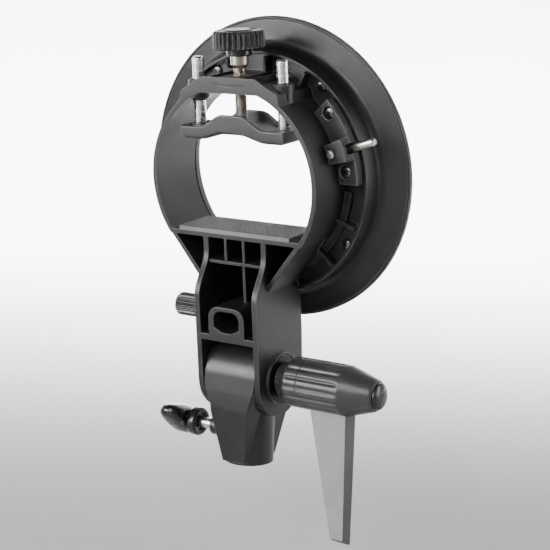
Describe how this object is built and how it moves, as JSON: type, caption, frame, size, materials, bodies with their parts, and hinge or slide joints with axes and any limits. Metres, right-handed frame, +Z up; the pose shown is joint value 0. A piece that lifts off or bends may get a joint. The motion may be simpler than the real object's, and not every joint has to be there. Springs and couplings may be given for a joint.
{
  "type": "umbrella swivel bracket",
  "caption": "Tilting light-stand bracket with a round collar that clamps a speedlight, a front bayonet ring for light shapers and a tube for an umbrella shaft.",
  "frame": {"origin": "centre of the stand socket's mouth", "axes": "+Z up along the socket, +Y to the front (light shaper side), +X to the tilt lever"},
  "size_m": [0.1575, 0.0616, 0.2638],
  "materials": {
    "frame_plastic": "fine matte moulded",
    "adapter_plastic": "satin moulded",
    "dish_plastic": "satin moulded",
    "plate_metal": "black coated",
    "screw_steel": "zinc plated",
    "black_screw": "black oxide",
    "pad_rubber": "ribbed",
    "brass": "turned brass",
    "bush_plastic": "turned",
    "latch_plastic": "satin moulded",
    "latch_steel": "satin steel",
    "spring_steel": "drawn wire",
    "jaw_plastic": "satin moulded",
    "jaw_metal": "stamped sheet",
    "jaw_rubber": "soft pad",
    "rod_chrome": "polished chrome",
    "thread_steel": "cut thread",
    "knob_plastic": "satin fluted",
    "friction_fibre": "pressed fibre",
    "washer_black": "black",
    "lever_plastic": "satin moulded",
    "arm_grey": "satin grey moulded",
    "cap_plastic": "glossy",
    "handle_plastic": "glossy black"
  },
  "bodies": {
    "stand_body": {"stand_adapter": "adapter_plastic", "friction_discs": "friction_fibre", "lock_insert": "brass"},
    "lock_pad_body": {"pressure_pad": "screw_steel"},
    "stand_lock": {"lock_screw": "screw_steel", "lock_handle": "handle_plastic"},
    "head": {"main_frame": "frame_plastic", "dish_ring": "dish_plastic", "mount_plate": "plate_metal", "mount_screws": "screw_steel", "frame_screws": "screw_steel", "platform_pad": "pad_rubber", "bridge_nut": "brass", "guide_bushes": "bush_plastic", "latch_housing": "latch_plastic", "latch_screws": "black_screw", "umbrella_insert": "brass", "tilt_bolt": "screw_steel", "bolt_washer": "screw_steel", "thrust_washer": "washer_black"},
    "latch": {"latch_pin": "latch_steel", "latch_carrier": "spring_steel", "release_rod": "latch_steel", "latch_spring": "spring_steel"},
    "jaw": {"clamp_jaw": "jaw_plastic", "jaw_plate": "jaw_metal", "jaw_pad": "jaw_rubber", "guide_rods": "rod_chrome"},
    "clamp": {"clamp_screw": "thread_steel", "clamp_knob": "knob_plastic", "retaining_washer": "screw_steel"},
    "umbrella_pad_body": {"umbrella_pad": "screw_steel"},
    "umbrella_lock": {"umbrella_screw": "screw_steel", "umbrella_knob": "knob_plastic"},
    "lever_hub_body": {"lever_hub": "lever_plastic", "lever_screw": "screw_steel", "lever_spring": "spring_steel"},
    "lever": {"lever_barrel": "lever_plastic", "lever_arm": "arm_grey", "lever_cap": "cap_plastic"}
  },
  "joints": [
    {"name": "lock_pad_slide", "type": "slide", "parent": "stand_body", "child": "lock_pad_body", "axis": [1, 0, 0], "range_m": [-0.004, 0.003]},
    {"name": "lock_spin", "type": "hinge", "parent": "lock_pad_body", "child": "stand_lock", "pos_m": [-0.03, 0, 0.015], "axis": [1, 0, 0], "range_deg": [-1440, 1080]},
    {"name": "tilt", "type": "hinge", "parent": "stand_body", "child": "head", "pos_m": [0, 0, 0.0464], "axis": [1, 0, 0], "range_deg": [-96, 84]},
    {"name": "lever_turn", "type": "hinge", "parent": "head", "child": "lever_hub_body", "pos_m": [0.04, 0, 0.0464], "axis": [1, 0, 0], "range_deg": [-90, 90]},
    {"name": "lever_pull", "type": "slide", "parent": "lever_hub_body", "child": "lever", "axis": [1, 0, 0], "range_m": [0, 0.005], "stiffness_N_per_m": 800, "springref_m": -0.004, "deforming": ["lever_spring"]},
    {"name": "jaw_slide", "type": "slide", "parent": "head", "child": "jaw", "axis": [0, 0.1045, -0.9945], "range_m": [-0.008, 0.0035]},
    {"name": "clamp_spin", "type": "hinge", "parent": "jaw", "child": "clamp", "pos_m": [0, -0.01574, 0.20764], "axis": [0, 0.1045, -0.9945], "range_deg": [-2880, 1260]},
    {"name": "latch_pull", "type": "slide", "parent": "head", "child": "latch", "axis": [0, -0.9945, -0.1045], "range_m": [0, 0.0045], "stiffness_N_per_m": 600, "springref_m": -0.004, "deforming": ["latch_spring"]},
    {"name": "umbrella_pad_slide", "type": "slide", "parent": "head", "child": "umbrella_pad_body", "axis": [1, 0, 0], "range_m": [-0.001, 0.005]},
    {"name": "umbrella_spin", "type": "hinge", "parent": "umbrella_pad_body", "child": "umbrella_lock", "pos_m": [-0.035, -0.00334, 0.07823], "axis": [1, 0, 0], "range_deg": [-360, 1800]}
  ],
  "couplings": [
    {"joint": "lock_spin", "follows": "lock_pad_slide", "rad_per_m": 6283.2},
    {"joint": "clamp_spin", "follows": "jaw_slide", "rad_per_m": 6283.2},
    {"joint": "umbrella_spin", "follows": "umbrella_pad_slide", "rad_per_m": 6283.2}
  ]
}
